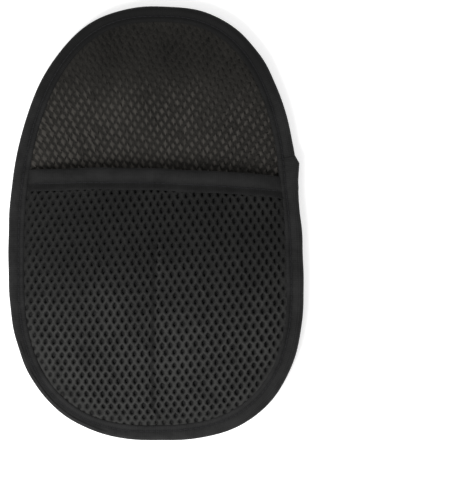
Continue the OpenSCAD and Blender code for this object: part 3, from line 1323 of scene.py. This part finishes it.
@dataclass
class EdgeBinding:
    """The folded tape round the whole edge, its lap, and the seam's two threads."""

    layout: Layout
    stations: int = 640
    tape: float = 0.8
    under_w: float = 9.0
    seam_back: float = 3.3
    under_seam: float = 6.1
    stitch: float = 3.3
    lap_top: float = 39.5
    lap_corner: float = 34.5
    lap_end: float = 19.0

    def width(self, x: Array, y: Array) -> Array:
        """How far in the tape reaches on top: hand-fed, so widest at the lap and narrowest opposite.

        Args:
            x: Positions across.
            y: Positions along.

        Returns:
            Widths.
        """
        a = np.arctan2(y - self.layout.outline.widest_y, x)
        base = self.layout.binding - 0.75
        uneven = np.cos(a) + 0.25 * np.sin(a) + 0.45 * np.cos(2 * a) - 0.3 * np.sin(2 * a)
        near_lap = (x > 0) * np.exp(-(((y - 24) / 14) ** 2))
        return base + uneven - 0.3 * np.cos(3 * a) + 0.2 * np.sin(3 * a) + 0.7 * near_lap

    def top(self, x: Array, y: Array) -> Array:
        """Height of the tape's upper face: higher over the pocket's cloth and its mouth tape.

        Args:
            x: Positions across.
            y: Positions along.

        Returns:
            Heights.
        """
        mouth = self.layout.mouth_y - 5
        pocket = 1.0 * ease(-y, -(mouth + 8), -(mouth + 3))
        ends = 0.8 * np.exp(-(((y - mouth) / 7) ** 2))
        return self.layout.over_z + 0.2 + pocket + ends + 0.12 * wander(x, y, 14, 52)

    def tone(self, places: Array, loop: Array) -> Array:
        """Painted light on the tape: darkest at the wrist end and in the seam's valley, palest at the
        fingertips.

        Args:
            places: The stations.
            loop: The tape's loops of inset and height.

        Returns:
            For each point of the loops, how much paler or, below 0, darker the tape is.
        """
        x, y = places.T
        # painted light along the mitt, darkest at the wrist end; painted shade in the seam's valley and along
        # the tape's inner edge on top
        along = -0.08 - 0.7 * ease(y, 50, 110) + 0.3 * ease(-y, 70, 120)
        off = loop[..., 0] - (self.width(x, y) - self.seam_back + 0.1)[:, None]
        on_top = loop[..., 1] > (self.layout.over_z + self.layout.under_z) / 2
        inner = ease(off, 1.8, 3.2)
        return along[:, None] - (0.5 * np.exp(-((off / 0.9) ** 2)) + 0.25 * inner) * on_top

    def lap_share(self, y: Array) -> Array:
        """How much of the lap's second layer lies at y, 0 to 1."""
        over_end = 1 - ease(y, self.lap_top, self.lap_top + 1.5)
        return ease(y, self.lap_end - 1.5, self.lap_end + 1.5) * over_end

    def section(
        self, places: Array, along: Array, over: float | Array, out: Array, tape: float
    ) -> Array:
        """The folded tape at each station, from its inner edge on top to the one below.

        Args:
            places: The stations.
            along: Their distances along the edge.
            over: How much higher and lower the fold is, for the lap.
            out: How much further out the fold reaches.
            tape: Thickness of the tape.

        Returns:
            Closed loops of inset and height.
        """
        x, y = places.T
        width = self.width(x, y)
        top, under = self.top(x, y) + over, self.layout.under_z - over + 0 * x
        line = width - self.seam_back
        pinch = 0.8 * (x > 0) * np.exp(-(((y - 14) / 14) ** 2))
        rim = pinch - out + 0.15 * wander(x, y, 16, 53)
        middle = (top + under) / 2
        pucker = 0.13 * np.sin(along * math.tau / self.stitch)
        swell = 0.14 * np.sin(along * math.tau / 21.0 + 2 * np.sin(along / 37.0))
        zero = 0 * x
        rows = [
            (width, top - 1.0),
            (width + 0.05, top - 0.65),
            (width - 0.35, top - 0.3),
            (width - 1.2, top - 0.08 + pucker),
            (width - 2.1, top - 0.26 + pucker),
            (line + 0.35, top - 0.62 + 0.5 * pucker),
            (line - 0.25, top - 0.7 + 0.5 * pucker),
            (line - 1.0, top - 0.42 + pucker),
            (line - 2.0, top - 0.08 + pucker + swell),
            (line - 3.2, top + 0.16 + swell),
            (rim + 1.6, top - 0.02 + 0.5 * swell),
            (rim + 0.75, top - 0.62),
            (rim + 0.15, top - 1.6),
            (rim, middle),
            (rim + 0.15, under + 1.6),
            (rim + 0.75, under + 0.68),
            (rim + 1.7, under + 0.12),
            (3.4 + zero, under - 0.05),
            (5.2 + zero, under + 0.02),
            (self.under_seam + zero, under + 0.35),
            (7.0 + zero, under + 0.02),
            (self.under_w - 0.4 + zero, under + 0.02),
            (self.under_w + zero, under + 0.4),
        ]
        control = np.stack([np.stack(pair, -1) for pair in rows], 1)
        return strip_loop(rounded(control, 48), tape)

    def build(self) -> None:
        """Builds the tape, the lap and both threads."""
        shape = self.layout.outline
        places, inward, along = shape.rim(self.stations)
        loop = self.section(places, along, 0.0, np.zeros(len(places)), self.tape)
        band = sweep("edge_tape", places, inward, loop, EDGE_TAPE, True, self.tone(places, loop))
        lap = self.lap()
        for obj in (band, lap):
            fix_to_mitt(obj, "edge_binding")
        self.threads()

    def lap(self) -> bpy.types.Object:
        """The tape's outer end, folded under and sewn down over its beginning, with one corner sticking out.

        Returns:
            The piece.
        """
        places, inward, along = self.layout.outline.rim(6000)
        y = places[:, 1]
        on = (places[:, 0] > 0) & (y < self.lap_top) & (y > self.lap_end)
        places, inward, along, y = (part[on][::5] for part in (places, inward, along, y))
        start, corner = self.lap_end, self.lap_corner
        reach = ((start, 0.15), (24, 0.3), (27, 0.6), (30, 1.1), (corner, 1.9), (36.5, 1.1), (39, 0.15))
        out = np.interp(y, *zip(*reach))
        over = 0.1 + 0.32 * ease(y, start, start + 3) - 0.2 * ease(y, corner, self.lap_top)
        loop = self.section(places, along, over, out, 0.5)
        return sweep("edge_tape_lap", places, inward, loop, EDGE_TAPE, False, self.tone(places, loop))

    def threads(self) -> None:
        """Needle thread along the valley on top, bobbin thread underneath."""
        shape = self.layout.outline
        lap_thick = 0.42
        _, _, along = shape.rim(8)
        count = round(float(along[-1] + along[1]) / self.stitch)
        places, inward, _ = shape.rim(count)
        x, y = places.T
        ahead = np.stack([inward[:, 1], -inward[:, 0], np.zeros(count)], 1)
        up = np.tile([0.0, 0.0, 1.0], (count, 1))
        lap = lap_thick * (x > 0) * self.lap_share(y)
        line = self.width(x, y) - self.seam_back
        top_row = np.column_stack([places + inward * line[:, None], self.top(x, y) - 0.6 + lap])
        low_row = np.column_stack([places + inward * self.under_seam, self.layout.under_z + 0.3 - lap])
        for name, node, rows, out in (
            ("binding_top_stitches", "binding_needle_thread", top_row, up),
            ("binding_under_stitches", "binding_bobbin_thread", low_row, -up),
        ):
            fix_to_mitt(stitches(name, rows, ahead, out, 0.22), node)


@dataclass
class HandPocket:
    """The air-mesh pocket: its net, its inner face, and its rolled mouth with elastic and threads."""

    layout: Layout
    stitch: float = 3.2
    tape_flat: float = 31.0
    ease_in: float = 1.08
    cells: Lattice = field(default_factory=lambda: Lattice(4.75, 4.06, 1.65, 3.1, tails=0.35))
    lay: Lay = field(
        default_factory=lambda: Lay(
            -45,
            across={
                (0, 0): 1.4, (0, 1): 4.6, (0, 2): 1.7, (0, 3): -2.2,
                (1, 0): -0.5, (1, 1): -1.7, (1, 2): -5.2, (2, 0): 2.4,
            },
            along={
                (0, 0): -1.7, (0, 1): 1.2, (0, 2): 4.9, (0, 3): -7.1,
                (1, 0): 5.1, (2, 0): 3.0, (2, 1): -6.1,
            },
        )
    )

    def placed(self, x: Array, y: Array) -> tuple[Array, Array]:
        """The net's lay, drawn in from both sides towards the pressed fold.

        Args:
            x: Positions across, in the even lattice.
            y: Positions along.

        Returns:
            Positions on the mitt.
        """
        wx, wy = self.lay(x, y)
        off = wx - self.layout.crease_line(wy)
        return wx - 0.4 * np.tanh(off / 3) * np.exp(-np.abs(off) / 40), wy

    def tone(self, x: Array, y: Array) -> Array:
        """Painted light and shade on the net's yarn: palest at the fingertips, dark in the fold and under the
        mouth.

        Args:
            x: Positions across.
            y: Positions along.

        Returns:
            Shares of the full tone.
        """
        # painted light: dark by the mouth, palest at the fingertips, paler to the left; painted shade in the
        # fold, painted highlight on its lip; wander gives random tone
        along = 0.17 + 0.85 * ease(-y, 0, 85)
        mottle_and_painted_light = 1 + 0.12 * wander(x, y, 18, 64) + 0.08 * ease(-x, 30, 75)
        return (1 - 0.75 * self.layout.crease(x, y)) * along * mottle_and_painted_light + 0.6 * self.layout.crease_lip(x, y)

    def build(self) -> None:
        """Builds both halves, which meet along the middle and stay sewn at the sides."""
        for side in Side:
            net = self.net(side)
            inner = self.inner_face(side)
            self.mouth(side)
            log.info("pocket, %s half: %s and %s", side.name.lower(), net.name, inner.name)

    def attach(self, obj: bpy.types.Object, side: Side, *nodes: str) -> bpy.types.Object:
        """Bakes a piece's placing into its mesh and hides the solids that it stands for.

        Args:
            obj: The piece.
            side: The half that it belongs to; not used.
            *nodes: The solids that it stands for.

        Returns:
            The piece.
        """
        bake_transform(obj)
        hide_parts(*nodes)
        return obj

    def net(self, side: Side) -> bpy.types.Object:
        """The knitted net of one half, with its oval holes.

        Args:
            side: Which half.

        Returns:
            The piece.
        """
        shape, layout = self.layout.outline, self.layout
        low = (-shape.half_w - 6, shape.widest_y - shape.toe_half - 6)
        centres = self.cells.centres(low, (shape.half_w + 6, layout.mouth_y + 6))
        px, py = self.placed(*centres.T)
        keep = (shape.depth(px, py) > 5.5) & (py < layout.mouth_at(px) - 5.0) & (px * side.value > 0)
        centres = centres[keep]
        # ring tones: painted shade down the walls of each hole
        rings = [
            Ring(1.0, 0.0, 0.9),
            Ring(0.72, -0.02, 0.92),
            Ring(0.44, -0.16, 0.66),
            Ring(0.2, -0.6, 0.25),
            Ring(0.0, -1.15, 0.05),
            Ring(0.0, -1.9, 0.0, core=0.95),
        ]

        def hole(x: Array, y: Array) -> Array:
            """Holes close up on the pressed fold and at the sewn edge."""
            wx, wy = self.placed(x, y)
            return (1 - 0.6 * layout.crease(wx, wy)) * (0.75 + 0.25 * ease(shape.depth(wx, wy), 8, 16))

        obj = self.cells.cloth(
            f"pocket_net_{side.name.lower()}",
            centres,
            rings,
            layout.pocket_top,
            POCKET_NET,
            lean=lambda x, y: np.where(x < 0, -0.45 * ease(-x, 25, 85), 0.05 * ease(x, 20, 80)),
            scale=hole,
            warp=self.placed,
            press=lambda x, y: layout.pocket_thickness(x, y) / 3.0,
            shade=self.tone,
            closed=False,
        )
        self.attach(obj, side, "pocket_panel")
        flat, area = self.cells.flat(centres)
        return obj

    def inner_face(self, side: Side) -> bpy.types.Object:
        """The close-knit inner face of the mesh, seen dark through the holes.

        Args:
            side: Which half.

        Returns:
            The piece.
        """
        shape, layout = self.layout.outline, self.layout
        rows, cols = 70, 44
        toe = layout.toe_y - 2.0
        v = np.linspace(0, 1, rows) ** 1.3
        u = np.linspace(0, 1, cols)
        y0 = toe + v[:, None] * (layout.mouth_y - 2 - toe) + 0 * u
        x = side.value * u * shape.half_width(y0, 8.0)
        y = toe + v[:, None] * (layout.mouth_at(x) - 2 - toe)
        z = layout.pocket_top(x, y) - layout.pocket_thickness(x, y) + 0.05
        points = np.stack([x, y, z], -1).reshape(-1, 3)
        index = np.arange(rows * cols).reshape(rows, cols)
        corners = [index[:-1, :-1], index[:-1, 1:], index[1:, 1:], index[1:, :-1]]
        faces = np.stack(corners, -1).reshape(-1, 4)
        if side is Side.LEFT:
            faces = faces[:, ::-1]
        obj = make_piece(
            f"pocket_inner_face_{side.name.lower()}",
            points,
            faces,
            POCKET_INNER,
            tone=np.full(len(points), 0.5),
        )
        self.attach(obj, side, "pocket_panel")
        first, second, _, fourth = points[faces].transpose(1, 0, 2)
        return obj

    def mouth_points(self, x: Array, back: Array, height: Array) -> Array:
        """Places on the mouth's layers.

        Args:
            x: Positions across.
            back: Distances back from the mouth line.
            height: Heights over the mesh.

        Returns:
            Points in mm.
        """
        shape, layout = self.layout.outline, self.layout
        depth = shape.depth(x, layout.mouth_at(x) - np.maximum(back, 0))
        press = 0.22 + 0.78 * ease(depth, 8.5, 14.5)
        y = layout.mouth_at(x) - back
        z = layout.pocket_top(x, layout.mouth_at(x) - np.maximum(back, 0.0))
        return np.stack([x, y, z + height * press], -1)

    def along_mouth(self, side: Side, count: int) -> Array:
        """Stations along half of the mouth, from under the binding to the middle."""
        edge = float(self.layout.outline.half_width(np.array(self.layout.mouth_y - 4), 5.5))
        return side.value * np.linspace(edge, 0, count)

    def strip(
        self, name: str, side: Side, control: Array, thickness: float, finish: Finish
    ) -> bpy.types.Object:
        """A strip of cloth that runs along half of the mouth.

        Args:
            name: The piece's name, without its side.
            side: Which half.
            control: Outer face's points as distance back and height.
            thickness: Of the cloth.
            finish: Its material.

        Returns:
            The new object.
        """
        x = self.along_mouth(side, 110)
        n = len(x)
        swell = 1 + 0.05 * np.sin(x / 2.6 + 1.5 * np.sin(x / 9)) + 0.06 * wander(x, 0 * x, 13, 71)
        outer = np.repeat(rounded(control[None], 30), n, 0)
        outer[..., 1] *= np.where(outer[..., 1] > 0.7, swell[:, None], 1.0)
        outer[..., 0] += 0.25 * wander(x, 0 * x, 17, 72)[:, None]
        loop = strip_loop(outer, thickness)
        m = loop.shape[1]
        points = self.mouth_points(np.repeat(x[:, None], m, 1), loop[..., 0], loop[..., 1])
        index = np.arange(n * m).reshape(n, m)
        here, ahead = index[:-1], index[1:]
        quads = np.stack([here, ahead, np.roll(ahead, -1, 1), np.roll(here, -1, 1)], -1).reshape(-1, 4)
        faces = quads.tolist() + strip_ends(index, (True, False))
        if side is Side.LEFT:
            faces = [f[::-1] for f in faces]
        uv = np.stack(np.broadcast_arrays(np.abs(x)[:, None], distance_along(loop[0])), -1) * MM
        # painted shade on the flat band behind the roll
        tone = -0.45 * ease(loop[..., 0], 7.2, 8.6).ravel()
        full_name = f"{name}_{side.name.lower()}"
        obj = make_piece(full_name, points.reshape(-1, 3), faces, finish, uv.reshape(-1, 2), tone)
        # flat ends, so that the two halves' shading meets without a line
        obj.data.polygons.foreach_set("use_smooth", np.arange(len(faces)) < len(quads))
        return obj

    def mouth(self, side: Side) -> None:
        """The folded tape with its roll, the elastic in it, and the seam's threads.

        Args:
            side: Which half.
        """
        fold = np.array(
            [
                # the flat band, forward to the seam
                (12.0, 0.2), (11.7, 0.65), (10.6, 0.72), (9.2, 0.45), (8.3, 0.3), (7.7, 0.25), (7.2, 0.65),
                # the roll over the elastic
                (6.6, 1.55), (5.5, 2.25), (3.9, 2.6), (2.2, 2.45), (0.8, 1.85), (-0.1, 0.9), (-0.5, -0.4),
                # round the mesh's edge and back inside the pocket
                (-0.4, -1.7), (0.2, -2.9), (1.4, -3.65), (3.5, -3.85), (7.0, -3.8), (8.5, -3.7), (11.0, -3.8),
            ]
        )
        tape = self.strip("mouth_tape", side, fold, 0.5, MOUTH_TAPE)
        self.attach(tape, side, "mouth_tape")
        bowed = np.array([(6.3, 0.95), (6.0, 1.45), (3.9, 1.8), (1.8, 1.45), (1.4, 0.95)])
        elastic = self.strip("mouth_elastic", side, bowed, 0.8, ELASTIC)
        self.attach(elastic, side, "mouth_elastic")
        span = abs(float(self.along_mouth(side, 2)[0]))
        count = round((span - 6) / self.stitch)
        x = side.value * (np.arange(count) + 0.5) * self.stitch
        for name, node, back, height, out in (
            ("mouth_top_stitches", "mouth_needle_thread", 7.8, 0.42, 1.0),
            ("mouth_under_stitches", "mouth_bobbin_thread", 8.5, -3.75, -1.0),
        ):
            level = np.full(count, back)
            middle = self.mouth_points(x, level, np.full(count, height))
            ahead = unit(self.mouth_points(x + 0.5, level, np.full(count, height)) - middle)
            up = unit(np.cross(ahead, np.array([0.0, 1.0, 0.0])))
            up *= np.sign(up[:, 2:3]) * out
            row = stitches(f"{name}_{side.name.lower()}", middle, ahead, up, 0.25)
            self.attach(row, side, node)


# ---------------------------------------------------------------- studio


@dataclass
class Studio:
    """A pale floor, soft light and a camera straight above."""

    middle: tuple[float, float] = (46.4, -14.7)
    view_height: float = 286.8
    distance: float = 5.0
    level: float = 12.0

    def build(self) -> None:
        """Builds the floor, the lights and the camera."""
        self.floor()
        self.lights()
        self.camera()
        log.info("studio")

    def floor(self) -> None:
        """A table top of lit opal acrylic under the pile's tips: pale, even and nearly free of shadow."""
        mesh = bpy.data.meshes.new("floor")
        size = 4.0
        mesh.from_pydata(
            [(-size, -size, 0), (size, -size, 0), (size, size, 0), (-size, size, 0)], [], [(0, 1, 2, 3)]
        )
        obj = bpy.data.objects.new("floor", mesh)
        bpy.context.scene.collection.objects.link(obj)
        paint = bpy.data.materials.new("matt_white_floor")
        paint.use_nodes = True
        shader = paint.node_tree.nodes["Principled BSDF"]
        shader.inputs["Base Color"].default_value = linear("#f4f4f4")
        shader.inputs["Emission Color"].default_value = (1.0, 1.0, 1.0, 1.0)
        shader.inputs["Emission Strength"].default_value = 0.45
        shader.inputs["Roughness"].default_value = 0.9
        shader.inputs["Specular IOR Level"].default_value = 0.1
        mesh.materials.append(paint)

    def lights(self) -> None:
        """A bright even surround and one broad soft light from the lower left."""
        scene = bpy.context.scene
        world = bpy.data.worlds.new("surround")
        scene.world = world
        world.use_nodes = True
        world.node_tree.nodes["Background"].inputs["Color"].default_value = (1, 1, 1, 1)
        world.node_tree.nodes["Background"].inputs["Strength"].default_value = 0.55
        for name, place, size, power in (
            ("key", (-0.27, -0.36, 0.68), 0.4, 7.6),
            ("fill", (0.8, 0.9, 1.3), 1.2, 5.0),
        ):
            lamp = bpy.data.lights.new(name, "AREA")
            lamp.size, lamp.energy = size, power
            obj = bpy.data.objects.new(name, lamp)
            obj.location = place
            obj.rotation_euler = (-Vector(place)).to_track_quat("-Z", "Y").to_euler()
            scene.collection.objects.link(obj)
        scene.view_settings.view_transform = "Standard"

    def camera(self) -> None:
        """Looks straight down, with the wrist end at the top of the picture."""
        lens = bpy.data.cameras.new("camera")
        lens.sensor_width = 36.0
        lens.lens = 36.0 * self.distance / (self.view_height * MM)
        lens.clip_end = 20.0
        obj = bpy.data.objects.new("camera", lens)
        obj.location = (self.middle[0] * MM, self.middle[1] * MM, self.distance + self.level * MM)
        bpy.context.scene.collection.objects.link(obj)
        bpy.context.scene.camera = obj


def main() -> None:
    """Builds every sub-assembly in order."""
    logging.basicConfig(level=logging.INFO, format="%(name)s: %(message)s")
    layout = Layout.from_frame()
    Studio().build()
    WashingFace(layout).build()
    PaddedBack(layout).build()
    EdgeBinding(layout).build()
    HandPocket(layout).build()


if __name__ == "__main__":
    main()
